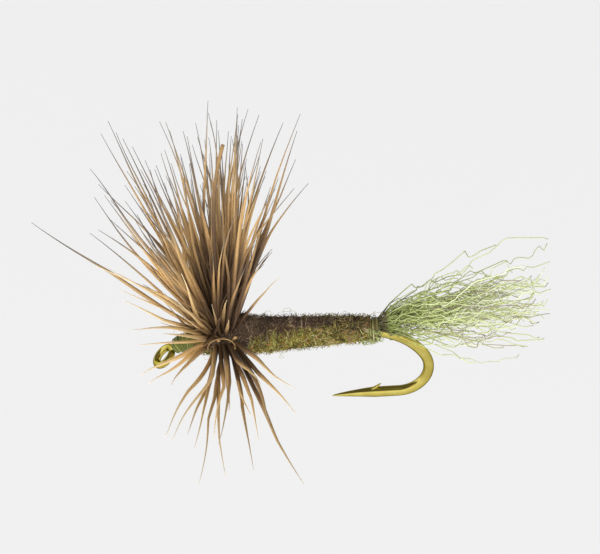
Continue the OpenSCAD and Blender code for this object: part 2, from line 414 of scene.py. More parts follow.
def strands(name, paths, radii, material, sides=6, **per_strand):
    """One object of closed tubes, a tube for each path. Keyword values are float
    attributes: one number for each strand, or one for each point of each strand."""
    paths, radii = np.asarray(paths, float), np.asarray(radii, float)
    count, length, _ = paths.shape
    rings = tube_rings(paths, radii, sides)
    faces = []
    for i in range(count):
        faces += tube_faces(i * length * sides, length, sides)
    along = np.broadcast_to(np.linspace(0, 1, length)[None, :], (count, length))
    floats = {"along": np.repeat(along.ravel(), sides)}
    for key, values in per_strand.items():
        values = np.asarray(values, float)
        if values.ndim == 1:
            values = np.repeat(values[:, None], length, axis=1)
        floats[key] = np.repeat(values.ravel(), sides)
    # Each strand has its own small square in the bake
    across = math.ceil(math.sqrt(count))
    cell = np.arange(count)
    corner = np.stack([cell % across, cell // across], axis=1)[:, None, None] + 0.15
    inside = np.stack(
        np.broadcast_arrays(along[:, :, None], (np.arange(sides) / sides)[None, None, :]),
        axis=-1,
    )
    uv = ((corner + 0.7 * inside) / across).reshape(-1, 2)
    return make_object(name, rings.reshape(-1, 3), faces, material, True, floats, uv)


def rides(piece, body, slot_name, *nodes):
    """Puts a piece on its body and hides the CAD nodes it stands for."""
    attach(piece, body)
    if nodes:
        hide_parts(*nodes)
    return piece


def around_shank(x, radius, angle, rise=0.0):
    """A point around the shank. The angle starts at the top and goes to the left side."""
    return np.stack(
        np.broadcast_arrays(
            x, -radius * np.sin(angle), SHANK_Z + rise + radius * np.cos(angle)
        ),
        axis=-1,
    )


# ---------------------------------------------------------------- hook

RING_R = 0.427
NECK_TILT = math.radians(40)
ELBOW_R = 0.5
FILLET_R = 0.25
HEEL_R = 1.27
HEEL_SPLIT = math.radians(30)
SPEAR_LEN = 0.95
POINT_LEN = 1.75
POINT_SINK = 0.08
TIP_R = 0.012
BARB_RISE = 0.24
BARB_R = 0.1

NECK = Vector((math.cos(NECK_TILT), 0, math.sin(NECK_TILT)))
SIDE = Vector((0, 1, 0))
elbow_cut = ELBOW_R * math.tan(NECK_TILT / 2)
NECK_END = SHANK_Z / math.sin(NECK_TILT) - elbow_cut
SHANK_START = SHANK_Z / math.tan(NECK_TILT) + elbow_cut
SPEAR_Z = HOOK_LOW.z + WIRE_D / 2
wire_drop = SHANK_Z - SPEAR_Z
CROWN_R = (wire_drop - HEEL_R * (1 + math.sin(HEEL_SPLIT))) / (1 - math.sin(HEEL_SPLIT))
HEEL_X = BEND_X + (CROWN_R - HEEL_R) * math.cos(HEEL_SPLIT)
POINT_X = HEEL_X - SPEAR_LEN


def arc_points(x, z, radius, start, end, count):
    """Points along an arc in the middle plane, by angle above +X."""
    angles = np.linspace(start, end, count)
    return [Vector((x + radius * math.cos(a), 0, z + radius * math.sin(a))) for a in angles]


def eye_points():
    """The loop of the eye, from its free end round to the neck."""
    reach = math.sqrt(RING_R * RING_R + 2 * RING_R * FILLET_R)
    touch = math.atan2(FILLET_R, reach)
    loop = np.linspace(math.radians(-13), -TAU + touch, 60)
    points = [(NECK * math.cos(a) + SIDE * math.sin(a)) * RING_R for a in loop]
    fillet = np.linspace(math.pi + touch, 1.5 * math.pi, 9)[1:]
    for a in fillet:
        points.append(NECK * (reach + FILLET_R * math.cos(a)) + SIDE * FILLET_R * (1 + math.sin(a)))
    return points


def hook_path():
    """The middle line of the wire from the free end of the eye to the point, and its radii."""
    eye = eye_points()
    neck = [NECK * s for s in np.linspace(eye[-1].dot(NECK), NECK_END, 8)[1:]]
    elbow = arc_points(
        SHANK_START, SHANK_Z - ELBOW_R, ELBOW_R, math.pi / 2 + NECK_TILT, math.pi / 2, 8
    )[1:]
    shank = [Vector((x, 0, SHANK_Z)) for x in np.linspace(SHANK_START, BEND_X, 14)[1:]]
    crown = arc_points(BEND_X, SHANK_Z - CROWN_R, CROWN_R, math.pi / 2, HEEL_SPLIT, 34)[1:]
    heel = arc_points(HEEL_X, SPEAR_Z + HEEL_R, HEEL_R, HEEL_SPLIT, -math.pi / 2, 40)[1:]
    spear = [Vector((x, 0, SPEAR_Z)) for x in np.linspace(HEEL_X, POINT_X, 8)[1:]]
    eye_r, wire_r = EYE_WIRE_D / 2, WIRE_D / 2
    radii = [eye_r] * len(eye) + list(np.linspace(eye_r, wire_r, len(neck)))
    radii += [wire_r] * len(elbow + shank + crown + heel + spear)
    # The free end of the loop is rounded off where it meets the neck
    radii[0], radii[1] = 0.12, 0.142
    points = eye + neck + elbow + shank + crown + heel + spear
    for t in np.linspace(0, 1, 26)[1:]:
        points.append(Vector((POINT_X - POINT_LEN * t, 0, SPEAR_Z - POINT_SINK * t * t)))
        radii.append(TIP_R + (wire_r - TIP_R) * (1 - t) ** 0.72)
    return points, radii


def hook():
    points, radii = hook_path()
    bronze = bronze_material()
    wire = strands("hook_wire", [points], [radii], bronze, 32)
    rides(wire, "root", "hook_wire", "hook")
    # The barb is a sliver raised from the wire, leaning back towards the bend
    tip = Vector((POINT_X + 0.26, 0, SPEAR_Z + WIRE_D / 2 + BARB_RISE))
    foot = Vector((POINT_X - 0.34, 0, SPEAR_Z + 0.05))
    steps = np.linspace(0, 1, 9)
    sliver = [foot.lerp(tip, t) + Vector((0, 0, -0.06 * math.sin(math.pi * t))) for t in steps]
    thickness = BARB_R * (1 - steps) ** 0.55 + 0.006
    barb = strands("hook_barb", [sliver], [thickness], bronze, 16)
    rides(barb, "root", "hook_wire", "hook")


# ---------------------------------------------------------------- wound thread


def turns_path(x1, x2, radius1, radius2, count, rise=0.0, start=0.0, wander=0.0, seed=1):
    """A helix of thread around the shank."""
    rng = np.random.default_rng(seed)
    steps = int(count * 28) + 1
    t = np.linspace(0, 1, steps)
    angle = start + TAU * count * t
    radius = radius1 + (radius2 - radius1) * t
    drift = wander * np.interp(t, np.linspace(0, 1, 9), rng.uniform(-1, 1, 9))
    return around_shank(x1 + (x2 - x1) * t + drift, radius, angle, rise)


def thread_piece(name, path, material, tone, node_name, slot_name):
    """A length of thread; its ends taper away under the next turn."""
    path = np.asarray(path)
    radii = np.full(len(path), THREAD_D / 2)
    radii[0] = radii[-1] = THREAD_D / 8
    tones = np.interp(np.linspace(0, 1, len(path)), np.linspace(0, 1, len(tone)), tone)
    piece = strands(name, [path], [radii], material, 8, tone=[tones])
    rides(piece, "root", slot_name, node_name)


# The wound head starts this far up the neck, and ends at the front of the thread base
HEAD_FOOT = 0.79
HEAD_LENGTH = NECK_END - HEAD_FOOT + ELBOW_R * NECK_TILT + FRONT_X - SHANK_START
NECK_UP = Vector((-math.sin(NECK_TILT), 0, math.cos(NECK_TILT)))


def head_line(s):
    """A point on the middle line of the wound head, s along it, and its tilt there."""
    arc_length = ELBOW_R * NECK_TILT
    straight = NECK_END - HEAD_FOOT
    if s < straight:
        return NECK * (HEAD_FOOT + s), NECK_TILT
    if s < straight + arc_length:
        turned = (s - straight) / ELBOW_R
        tilt = NECK_TILT - turned
        centre = Vector((SHANK_START, 0, SHANK_Z - ELBOW_R))
        return centre + Vector((-math.sin(tilt), 0, math.cos(tilt))) * ELBOW_R, tilt
    return Vector((SHANK_START + s - straight - arc_length, 0, SHANK_Z)), 0.0


def head_point(s, radius, angle):
    """A point around the middle line of the wound head."""
    middle, tilt = head_line(s)
    up = Vector((-math.sin(tilt), 0, math.cos(tilt)))
    return middle + (up * math.cos(angle) - SIDE * math.sin(angle)) * radius


def head_radius(t):
    """The wound head swells in the middle and draws in towards the eye."""
    return 0.285 + 0.075 * math.sin(math.pi * min(1.0, 0.18 + t * 0.7)) ** 0.8


def wound_head(material):
    """Two layers of turns, wound back and then forward again, over a smooth core."""
    # turns, depth below the head's outside, first angle, way along the head
    layers = [(11, 0.045, 0.0, 1), (7.5, 0.012, 2.1, -1)]
    for index, (count, inset, start, sense) in enumerate(layers):
        path, tone = [], []
        rng = np.random.default_rng(40 + index)
        tones = rng.uniform(0.15, 0.8, 12)
        steps = int(count * 26)
        for k in range(steps + 1):
            t = k / steps
            s = HEAD_LENGTH * (0.04 + 0.92 * (t if sense > 0 else 1 - t))
            radius = head_radius(s / HEAD_LENGTH) - inset
            path.append(head_point(s, radius, start + TAU * count * t))
        name = f"head_thread_{index + 1}"
        thread_piece(name, path, material, tones, "thread_head", "green_thread")
    rings, sides = 24, 32
    points = []
    for j in range(rings):
        s = HEAD_LENGTH * j / (rings - 1)
        for k in range(sides):
            points.append(head_point(s, head_radius(j / (rings - 1)) - 0.05, TAU * k / sides))
    faces = tube_faces(0, rings, sides)
    tone = np.full(len(points), 0.3)
    core = make_object("head_core", points, faces, material, True, {"tone": tone})
    rides(core, "root", "green_thread", "thread_head")


def whip_turns(material):
    """The last turns, side by side around the neck."""
    path = []
    count = 3
    for k in range(count * 28 + 1):
        t = k / (count * 28)
        along = 0.63 + 0.13 * t
        angle = TAU * count * t
        spoke = NECK_UP * math.cos(angle) - SIDE * math.sin(angle)
        path.append(NECK * along + spoke * (WIRE_D / 2 + 0.005))
    tones = [0.2, 0.6, 0.35, 0.7]
    thread_piece("whip_turns", path, material, tones, "whip_finish", "green_thread")


def windings():
    olive = thread_material(
        "olive_thread", [rgb(60, 52, 24), rgb(92, 84, 40), rgb(160, 152, 100)], 0.55, 0.1
    )
    green = thread_material(
        "green_thread", [rgb(50, 54, 16), rgb(92, 98, 32), rgb(134, 138, 66)], 0.5, 0.2
    )
    wound_head(green)
    whip_turns(green)
    dam = turns_path(
        DAM_LOW.x + 0.03, DAM_HIGH.x - 0.03, BASE_R + 0.09, BASE_R + 0.16, 6, wander=0.02, seed=5
    )
    thread_piece("dam_turns", dam, olive, [0.3, 0.6, 0.4], "thread_dam", "thread")
    bind = turns_path(
        WRAPS_LOW.x + 0.04, WRAPS_HIGH.x - 0.04, BUTT_R + 0.05, BUTT_R + 0.05, 3.4, wander=0.02
    )
    thread_piece("wing_turns", bind, olive, [0.3, 0.5, 0.35], "wing_wraps", "thread")
    tie_r = TIE_R - THREAD_D / 2
    tie = turns_path(
        TIE_LOW.x + 0.04,
        TIE_HIGH.x - 0.04,
        tie_r + 0.01,
        tie_r - 0.01,
        5.5,
        rise=TIE_MIDDLE_Z - SHANK_Z,
        start=0.6,
        wander=0.015,
        seed=8,
    )
    # Two stretches of this thread are pale
    tones = [0.2, 0.25, 0.95, 0.3, 0.2, 0.3, 0.95, 0.25, 0.2, 0.3]
    thread_piece("tie_in_turns", tie, olive, tones, "shuck_wraps", "thread")


# ---------------------------------------------------------------- dubbing

HUMP_X = 3.3
FUZZ_D = 0.038


def body_radius(x):
    """How thick the dubbing is: fullest behind the wing, and thinner to both ends."""
    stations = [FRONT_X, DAM_LOW.x, THORAX_LOW.x, ABDOMEN_LOW.x, 5.5, 7.1, ABDOMEN_HIGH.x]
    sizes = [0.36, 0.46, 0.56, 0.65, 0.57, 0.49, 0.4]
    return np.interp(x, stations, sizes)


def body_rise(x):
    """How far the middle of the dubbing lies above the shank."""
    stations = [FRONT_X, DAM_LOW.x, THORAX_LOW.x, 5.0, 8.4]
    return np.interp(x, stations, [0.0, 0.0, 0.12, 0.16, 0.17])


def hump(x, angle):
    """The back of the thorax is heaped up behind the wing."""
    return 0.32 * np.exp(-(((x - HUMP_X) / 0.4) ** 2)) * np.clip(np.cos(angle), 0, 1) ** 1.5


def brown_back_and_shade(x, angle, jitter=0.0):
    """1 on the brown back, 0 on the olive belly. The brown runs out towards the shuck. On the
    abdomen the brown top is partly the fur's own colour and partly painted shade on the top side.
    """
    edge = np.radians(np.interp(x, [2.3, 3.1, 3.5, 5.5, 7.1, 8.4], [200, 200, 64, 43, 15, -8]))
    turned = np.abs((angle + math.pi) % TAU - math.pi)
    share = np.clip((edge - turned + jitter) / 0.25 + 0.5, 0, 1)
    # Towards the shuck the top side is browner as well: painted shade.
    upper = np.clip(np.cos(angle) + 0.4, 0, 1)
    return np.maximum(share, np.interp(x, [5.8, 7.6], [0, 0.62]) * upper)


def dubbed_core(name, x1, x2, rings, material, all_olive=False):
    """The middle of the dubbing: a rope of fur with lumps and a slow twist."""
    sides = 72
    points, back = [], []
    for j in range(rings):
        x = x1 + (x2 - x1) * j / (rings - 1)
        for k in range(sides):
            angle = TAU * k / sides
            rope = 0.018 * math.sin(angle + x * TAU / 0.62)
            where = Vector((x * 2.6, math.sin(angle) * 1.9, math.cos(angle) * 1.9))
            lumps = 0.07 * noise.noise(where) + 0.04 * noise.noise(where * 4.2)
            radius = body_radius(x) + hump(x, angle) + rope + lumps
            points.append(around_shank(x, radius, angle, body_rise(x)))
            jitter = 0.4 * noise.noise(where * 2)
            back.append(0.0 if all_olive else float(brown_back_and_shade(x, angle, jitter)))
    # A fault left as it was: these faces point inwards
    faces = [face[:1] + face[:0:-1] for face in tube_faces(0, rings, sides)]
    tone = np.full(len(points), 0.5)
    return make_object(name, points, faces, material, True, {"back": back, "tone": tone})


def fuzz(name, x1, x2, count, material, seed, all_olive=False, stand=0.09, loose=0.35):
    """Fibres of fur laid around the core. stand is the most that a lying fibre rises, and
    loose is the share of fibres that stand off."""
    rng = np.random.default_rng(seed)
    length = 6
    t = np.linspace(0, 1, length)[None, :]
    x0 = rng.uniform(x1, x2, (count, 1))
    angle0 = rng.uniform(0, TAU, (count, 1))
    heading = rng.uniform(0, TAU, (count, 1))
    run = rng.uniform(0.15, 0.55, (count, 1))
    x = x0 + np.cos(heading) * run * t + rng.normal(0, 0.04, (count, 1)) * np.sin(TAU * t)
    x = np.clip(x, x1 - 0.03, x2 + 0.03)
    angle = angle0 + 1.7 * np.sin(heading) * run * t
    angle = angle + rng.normal(0, 0.1, (count, 1)) * np.sin(TAU * t)
    standing = rng.uniform(0, 1, (count, 1)) < loose
    high, low = rng.uniform(0.06, 0.24, (count, 1)), rng.uniform(0.02, stand, (count, 1))
    lift = np.where(standing, high, low)
    shape = np.where(standing, t**1.3, np.sin(math.pi * t))
    radius = body_radius(x) + hump(x, angle) - 0.02 + lift * shape + 0.01
    paths = around_shank(x, radius, angle, body_rise(x))
    tufts = [noise.noise(Vector((a * 2.2, b * 1.6, c))) for a, b, c in paths[:, 2]]
    tone = np.clip(rng.uniform(0, 1, count) + 0.5 * np.array(tufts), 0, 1)
    radii = FUZZ_D / 2 * (1 - 0.5 * t) * rng.uniform(0.6, 1.25, (count, 1))
    jitter = rng.normal(0, 0.2, (count, 1))
    back = np.zeros((count, length)) if all_olive else brown_back_and_shade(x, angle, jitter)
    return strands(name, paths, radii, material, 3, tone=tone, back=back)


def stray_fibres(name, x1, x2, count, material, seed, all_olive=False):
    """Long single fibres that have come loose from the body."""
    rng = np.random.default_rng(seed)
    paths, tones, backs = [], [], []
    t = np.linspace(0, 1, 16)
    for _ in range(count):
        x = rng.uniform(x1, x2)
        angle = rng.uniform(0, TAU)
        span = rng.uniform(0.5, 1.6)
        curl = rng.uniform(0.8, 3.2)
        heading = rng.uniform(-1.3, 1.3)
        xs = x + span * np.sin(heading) * t + 0.12 * np.sin(curl * 3 * t + angle)
        angles = angle + 0.7 * span * np.sin(curl * t)
        radius = body_radius(x) - 0.03 + span * 0.32 * np.cos(heading) * np.sin(math.pi * t * 0.85)
        paths.append(around_shank(xs, radius, angles, float(body_rise(x))))
        tones.append(rng.uniform(0.3, 1))
        backs.append(0.0 if all_olive else float(brown_back_and_shade(x, angle)))
    radii = np.full((count, len(t)), 0.007)
    return strands(name, paths, radii, material, 3, tone=tones, back=backs)


def dubbing():
    core = dubbing_material("dubbing_core", False)
    fibre = dubbing_material("dubbing_fibre", True)
    front = dubbed_core("front_core", FRONT_X, DAM_LOW.x, 30, core, True)
    rides(front, "root", "olive_dubbing", "front_dubbing")
    front_fuzz = fuzz("front_fuzz", FRONT_X, DAM_LOW.x, 900, fibre, 11, True, 0.12, 0.45)
    rides(front_fuzz, "root", "olive_dubbing", "front_dubbing")
    thorax = dubbed_core("thorax_core", WRAPS_LOW.x, THORAX_HIGH.x + 0.05, 60, core)
    rides(thorax, "root", "brown_dubbing", "thorax_dubbing")
    thorax_fuzz = fuzz("thorax_fuzz", WRAPS_LOW.x, THORAX_HIGH.x + 0.1, 3000, fibre, 12)
    rides(thorax_fuzz, "root", "brown_dubbing", "thorax_dubbing")
    abdomen = dubbed_core("abdomen_core", ABDOMEN_LOW.x - 0.03, ABDOMEN_HIGH.x, 150, core)
    rides(abdomen, "root", "olive_dubbing", "abdomen_dubbing")
    abdomen_fuzz = fuzz("abdomen_fuzz", ABDOMEN_LOW.x, ABDOMEN_HIGH.x, 4600, fibre, 13)
    rides(abdomen_fuzz, "root", "olive_dubbing", "abdomen_dubbing")
    root = dubbed_core("wing_root_core", DAM_LOW.x, WRAPS_HIGH.x, 36, core)
    rides(root, "root", "brown_dubbing")
    root_fuzz = fuzz("wing_root_fuzz", DAM_LOW.x, WRAPS_HIGH.x, 1300, fibre, 15)
    rides(root_fuzz, "root", "brown_dubbing")
    strays = stray_fibres("stray_fur", THORAX_LOW.x, ABDOMEN_HIGH.x, 60, fibre, 14)
    rides(strays, "root", "olive_dubbing")
    front_strays = stray_fibres("stray_front", FRONT_X, WRAPS_LOW.x, 34, fibre, 16, True)
    rides(front_strays, "root", "olive_dubbing")


# ---------------------------------------------------------------- wing

HAIR_POINTS = 24
UPPER_BANDS = [
    (0.0, rgb(104, 82, 63)),
    (0.22, rgb(112, 88, 66)),
    (0.35, rgb(146, 115, 77)),
    (0.48, rgb(184, 149, 100)),
    (0.66, rgb(186, 153, 106)),
    (0.77, rgb(156, 134, 104)),
    (0.87, rgb(116, 106, 98)),
    (1.0, rgb(92, 88, 88)),
]
LOWER_BANDS = [
    (0.0, rgb(88, 68, 50)),
    (0.14, rgb(118, 92, 65)),
    (0.3, rgb(188, 153, 103)),
    (0.6, rgb(220, 187, 132)),
    (0.85, rgb(230, 204, 160)),
    (1.0, rgb(234, 218, 190)),
]


def hair_direction(around, lean):
    """The way a hair points, from its angle around the shank and its lean to the back."""
    return np.array(
        [math.sin(lean), -math.sin(around) * math.cos(lean), math.cos(around) * math.cos(lean)]
    )


def hair_path(rng, hair):
    """One hair: it leaves the bound butts, and bows, waves and kinks a little on its way."""
    around, lean = math.radians(hair["around"]), math.radians(hair["lean"])
    reach, unrest = hair["reach"], hair["unrest"]
    direction = hair_direction(around, lean)
    across = unit(np.cross([0.0, math.cos(around), math.sin(around)], direction))
    other = np.cross(direction, across)
    t = np.linspace(0, 1, HAIR_POINTS)
    foot_x = WING_X + float(np.clip(1.1 * lean + rng.uniform(-0.14, 0.14), -0.38, 0.36))
    foot = around_shank(foot_x, BASE_R - 0.03, around * 0.96)
    offsets = []
    for bow in hair["bow"]:
        size = unrest * rng.uniform(-1, 1)
        wave = size * np.sin(TAU * (rng.uniform(0.7, 1.5) * t + rng.uniform(0, 1)))
        offset = bow * t**2 + wave * t**0.8
        for _ in range(2):
            bend_at = rng.uniform(0.2, 0.8)
            offset = offset + 4.5 * unrest * rng.normal(0, 1) * np.clip(t - bend_at, 0, None)
        if "single" in hair:
            # A listed hair ends where it was set, however it bends on its way
            offset = offset - offset[-1] * t
        offsets.append(offset[:, None] * reach)
    return foot + direction * (reach * t)[:, None] + across * offsets[0] + other * offsets[1]


def hair_radii(rng, thickness, blunt):
    """A hair is thin at its foot, thickest by its first third, and ends in a long taper.
    A blunt one has lost its tip."""
    t = np.linspace(0, 1, HAIR_POINTS)
    swell = 0.6 + 0.4 * np.clip(t / 0.2, 0, 1) ** 0.7
    taper = np.ones(HAIR_POINTS) if blunt else np.clip((1 - t) / 0.62, 0, 1) ** 1.25
    return thickness / 2 * swell * taper * rng.uniform(0.9, 1.1) + 0.009


def lock(name, body, hairs, material, seed, shade=1.0, thickness=(0.11, 0.185)):
    """One lock of the wing. shade scales the brightness, thickness is the least and most of a hair."""
    rng = np.random.default_rng(seed)
    paths, radii, tones, shifts, alongs = [], [], [], [], []
    for hair in hairs(rng):
        paths.append(hair_path(rng, hair))
        radii.append(hair_radii(rng, rng.uniform(*thickness), "blunt" in hair))
        # Hairs that lean further back keep their dark roots longer: partly the hair's own banding
        # and partly painted shade inside the wing.
        early = 0.42 - (hair["lean"] + 12) / 45 + rng.uniform(-0.25, 0.3)
        tones.append(rng.uniform(0, 1) * shade)
        shifts.append(float(np.clip(early, 0, 1)))
        alongs.append(np.linspace(0, hair.get("bands", 1), HAIR_POINTS))
    piece = strands(name, paths, radii, material, 7, tone=tones, shift=shifts, along=alongs)
    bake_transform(piece)
    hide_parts("wing_lock" + body[len("wing"):])
    return piece


def clumps(count, members, arounds, lean, limits, unrest, singles=(), reach=(7.7, 9.6), under=0):
    """Hairs in small clumps that lean and bow together. arounds are the first and last
    angles around the shank, lean is the mean and spread, limits are its ends, in degrees.
    singles are further listed hairs: angle around, lean, length, and "blunt" for a broken one.
    under is the number of short dark hairs that fill the foot of the lock."""

    def hairs(rng):
        for i in range(count):
            middle = arounds[0] + (arounds[1] - arounds[0]) * (i + rng.uniform(0, 1)) / count
            clump_lean = float(np.clip(rng.normal(*lean), *limits))
            clump_bow = rng.normal(0, 0.055, 2)
            for _ in range(members):
                short = rng.uniform(0, 1) < 0.16
                yield {
                    "around": float(np.clip(middle + rng.normal(0, 4), *sorted(arounds))),
                    "lean": clump_lean + rng.normal(0, 3.2),
                    "reach": rng.uniform(4.2, reach[0]) if short else rng.uniform(*reach),
                    "bow": clump_bow + rng.normal(0, 0.02, 2),
                    "unrest": unrest,
                }
        for around, single_lean, length, *blunt in singles:
            hair = {
                "around": around,
                "lean": single_lean,
                "reach": length,
                "bow": rng.normal(0, 0.09, 2),
                "unrest": unrest,
                "single": True,
            }
            if blunt:
                hair.update(blunt=True, bands=0.6)
            yield hair
        # These short dark hairs darken the foot of the lock: painted shade among the roots.
        for _ in range(under):
            yield {
                "around": rng.uniform(*sorted(arounds)),
                "lean": float(np.clip(rng.normal(lean[0] + 10, 10), *limits)),
                "reach": rng.uniform(2.0, 4.6),
                "bow": rng.normal(0, 0.08, 2),
                "unrest": 0.03,
                "bands": 0.25,
            }

    return hairs


def wing():
    upper = hair_material("deer_hair_upper", UPPER_BANDS)
    lower = hair_material("deer_hair_lower", LOWER_BANDS)
    left = clumps(
        2, 1, (64, 84), (1, 10), (-14, 14), 0.02,
        [
            (70, -41, 4.5), (75, -37, 4.4), (78, -16, 7.8), (80, -14, 7.7), (81, -10, 6.9),
            (82, -8, 7.7), (85, -7, 9.4), (82, -3, 7.0), (84, -1, 9.2), (83, 5, 9.1),
            (80, 9, 7.8), (77, 11, 7.8), (78, 7, 6.2), (86, 16, 9.9), (74, 19, 7.6),
            (64, 17, 8.4), (79, 2, 5.6), (70, -20, 5.0),
        ],
        (7.0, 9.0),
    )
    upper_left = clumps(
        3, 3, (22, 48), (-18, 6), (-27, -8), 0.014,
        [
            (50, -45, 4.2), (30, -4, 4.0), (38, 3, 3.6), (28, 19, 6.4), (44, -14, 5.0),
            (34, -12, 3.2), (24, 4, 3.4), (24, -36, 6.0),
        ],
        (6.4, 8.6), 14,
    )
    top = clumps(
        11, 5, (-18, 18), (-9, 10), (-28, 16), 0.015,
        [(0, -47, 9.4), (-6, -32, 8.2), (4, -37, 7.6), (-10, 2, 8.7, "blunt")], (7.0, 9.6), 30,
    )
    upper_right = clumps(
        11, 5, (-54, -18), (-8, 12), (-27, 17), 0.015,
        [(-36, -26, 9.3), (-30, -33, 8.4), (-36, 21, 8.6)], (6.4, 9.6), 30,
    )
    right = clumps(7, 4, (-86, -54), (-3, 10), (-24, 11), 0.015, (), (6.6, 9.6), 20)
    lock("hair_left", "wing_left", left, lower, 21, 1.0, (0.145, 0.195))
    lock("hair_upper_left", "wing_upper_left", upper_left, lower, 22, 0.8)
    lock("hair_top", "wing_top", top, upper, 23)
    # The locks on the far side are made darker: painted shade.
    lock("hair_upper_right", "wing_upper_right", upper_right, upper, 24, 0.9)
    lock("hair_right", "wing_right", right, upper, 25, 0.85)
    hair_stubs(upper)


def hair_stubs(material):
    """Trimmed ends of hair at the root of the wing, and a hair bent over on each side."""
    rng = np.random.default_rng(27)
    paths, radii = [], []
    t = np.linspace(0, 1, 16)
    for side in (1, -1):
        for _ in range(4):
            around = side * rng.uniform(30, 80)
            x = WING_X + rng.uniform(-0.38, 0.4)
            start = around_shank(x, BASE_R, math.radians(around))
            turned = math.radians(around + rng.uniform(-30, 30))
            way = hair_direction(turned, rng.uniform(-0.9, 0.9))
            curl = rng.normal(0, 0.25, 3)
            length = rng.uniform(0.45, 0.75)
            paths.append(start + way * (length * t)[:, None] + curl * (t**2)[:, None] * length)
            radii.append(np.full(len(t), rng.uniform(0.06, 0.085)))
        turn = np.radians(205 - 215 * t)
        x = WING_X - 0.08 + 0.55 * np.cos(turn)
        bent = np.radians(68 - 20 * np.sin(turn))
        paths.append(around_shank(x, 1.0, side * bent))
        radii.append(0.04 - 0.02 * t)
    count = len(paths)
    along = np.broadcast_to(np.linspace(0.22, 0.5, len(t)), (count, len(t)))
    tone, shift = rng.uniform(0.4, 1, count), np.full(count, 0.5)
    stubs = strands("hair_stubs", paths, radii, material, 8, tone=tone, shift=shift, along=along)
    rides(stubs, "root", "deer_hair")


# ---------------------------------------------------------------- shuck

SHUCK_REACH = 7.2


def crinkle(rng, t, reach, size):
    """A wandering offset: straight runs of yarn between sharp kinks."""
    kinks = max(4, int(reach / rng.uniform(0.32, 0.62)))
    places = np.sort(np.concatenate([[0, 1], rng.uniform(0, 1, kinks)]))
    heights = [0.0]
    for step in rng.normal(0, size, len(places) - 1):
        heights.append(0.66 * heights[-1] + step)
    return np.interp(t, places, heights)


def shuck():
    """Crinkled yarn fibres in loose clumps: they splay out at the tie-in and then run back."""
    rng = np.random.default_rng(31)
    yarn = yarn_material("shuck_yarn")
    length = 48
    t = np.linspace(0, 1, length)
    paths, radii, tones, alongs = [], [], [], []
    clump_ups = np.concatenate([np.clip(rng.normal(0.12, 0.4, 15), -0.7, 0.7), [1.4, 1.6, -1.4]])
    for clump_up in clump_ups:
        stray = abs(clump_up) > 1.3
        clump_side = rng.normal(0, 0.3 if stray else 0.6)
        clump_slope = rng.normal(0, 0.07, 2) + np.array([0, 0.1 * clump_up])
        for _ in range(3 if stray else 11):
            side = clump_side + rng.normal(0, 0.22)
            up = clump_up + rng.normal(0, 0.2)
            slope = clump_slope + rng.normal(0, 0.11, 2)
            full = rng.uniform(0, 1) > 0.25
            reach = rng.uniform(3.8, SHUCK_REACH) if full else rng.uniform(1.4, 4.0)
            if stray:
                reach = min(reach, rng.uniform(3.0, 4.6) if clump_up < 0 else rng.uniform(4.4, 6.3))
            run = reach * t
            alongs.append(run / SHUCK_REACH)
            splay = 1 - np.exp(-run / (rng.uniform(1.0, 1.8) + (1.2 if stray else 0)))
            foot_side, foot_up = rng.uniform(-0.2, 0.2), rng.uniform(-0.36, 0.04)
            x = SHUCK_HINGE.x - 0.12 + run * 0.985
            fade = np.clip(run / 0.5, 0, 1)
            y = foot_side - side * splay - slope[0] * run + crinkle(rng, t, reach, 0.17) * fade
            z = SHUCK_HINGE.z + foot_up + up * splay + slope[1] * run
            z = z + crinkle(rng, t, reach, 0.19) * fade
            paths.append(np.stack([x, y, z], axis=1))
            radii.append(np.full(length, rng.uniform(0.016, 0.025)))
            tones.append(rng.uniform(0, 1))
    piece = strands("shuck_fibres", paths, radii, yarn, 4, tone=tones, along=alongs)
    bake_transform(piece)
    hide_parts("trailing_shuck")
    yarn_tags(yarn)


def yarn_tags(material):
    """Short ends of yarn that stick out around the tie-in."""
    rng = np.random.default_rng(33)
    count = 70
    t = np.linspace(0, 1, 9)[None, :]
    x = rng.uniform(TIE_LOW.x - 0.5, TIE_HIGH.x, (count, 1))
    angle = rng.uniform(math.radians(60), math.radians(300), (count, 1))
    heading = rng.normal(0, 1.0, (count, 1))
    run = rng.uniform(0.15, 0.45, (count, 1))
    xs = x + run * np.cos(heading) * t + 0.03 * np.sin(TAU * (t + angle))
    angles = angle + 1.5 * run * np.sin(heading) * t + 0.1 * np.sin(TAU * (t + x))
    lift = rng.uniform(0.02, 0.16, (count, 1)) * np.sin(math.pi * t * 0.8)
    paths = around_shank(xs, TIE_R - 0.02 + lift, angles, TIE_MIDDLE_Z - SHANK_Z)
    radii = np.full((count, 9), 0.016)
    along = np.full((count, 9), 0.2)
    tone = rng.uniform(0.1, 0.6, count)
    tags = strands("yarn_tags", paths, radii, material, 4, tone=tone, along=along)
    rides(tags, "root", "yarn")


# ---------------------------------------------------------------- head cement


def droplet(name, centre, radius, squash, material, seed):
    """A drop of cement: a rounded lump that has sagged a little."""
    mesh = bpy.data.meshes.new(name)
    shape = bmesh.new()
    bmesh.ops.create_icosphere(shape, subdivisions=4, radius=radius)
    for vertex in shape.verts:
        swell = 1 + 0.1 * noise.noise(vertex.co / radius * 1.3 + Vector((seed, 0, 0)))
        vertex.co = Vector((vertex.co.x, vertex.co.y, vertex.co.z * squash)) * swell
        vertex.co = (vertex.co + centre) * MM
    shape.to_mesh(mesh)
    shape.free()
    mesh.materials.append(material)
    mesh.polygons.foreach_set("use_smooth", np.ones(len(mesh.polygons), bool))
    piece = bpy.data.objects.new(name, mesh)
    bpy.context.scene.collection.objects.link(piece)
    rides(piece, "root", "cement", "head_cement")


def cement():
    clear = cement_material()
    large_at = Vector((SHANK_START, 0, SHANK_Z + 0.36))
    small_at = NECK * 0.87 + NECK_UP * 0.33
    droplet("cement_drop_large", large_at, 0.16, 0.85, clear, 3)
    droplet("cement_drop_small", small_at, 0.095, 0.9, clear, 7)


# ---------------------------------------------------------------- pieces that stay as they are


